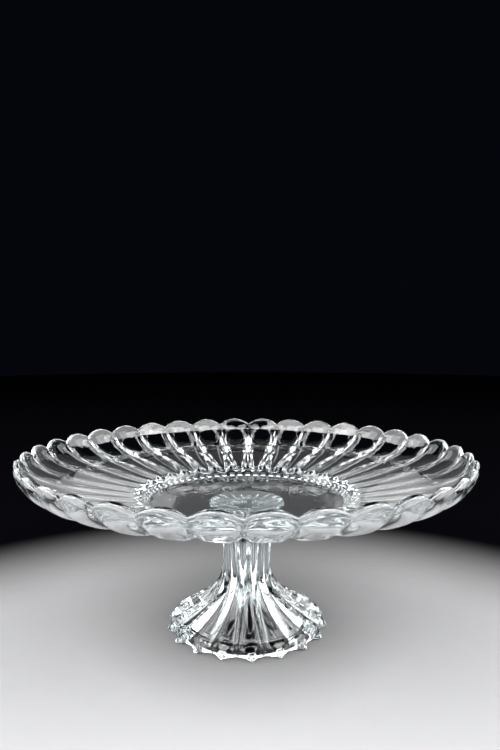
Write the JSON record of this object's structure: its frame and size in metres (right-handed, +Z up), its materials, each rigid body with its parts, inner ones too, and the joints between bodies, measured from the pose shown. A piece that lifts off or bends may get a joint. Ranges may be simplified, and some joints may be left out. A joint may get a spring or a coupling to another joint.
{
  "type": "cake stand",
  "caption": "Clear pressed-glass cake stand: a wide fluted plate with a scalloped rim, bonded to a hollow fluted pedestal with a petalled foot.",
  "frame": {"origin": "on the table, under the middle of the stand", "axes": "+Z up along the stand's axis; the front is -Y and +X is to the right seen from the front"},
  "size_m": [0.2988, 0.2988, 0.1215],
  "materials": {
    "plate_glass": "polished pressed glass",
    "bond_resin": "clear cured adhesive",
    "pedestal_glass": "polished pressed glass"
  },
  "bodies": {
    "root": {"plate": "plate_glass", "bond_layer": "bond_resin", "pedestal": "pedestal_glass"}
  },
  "joints": []
}
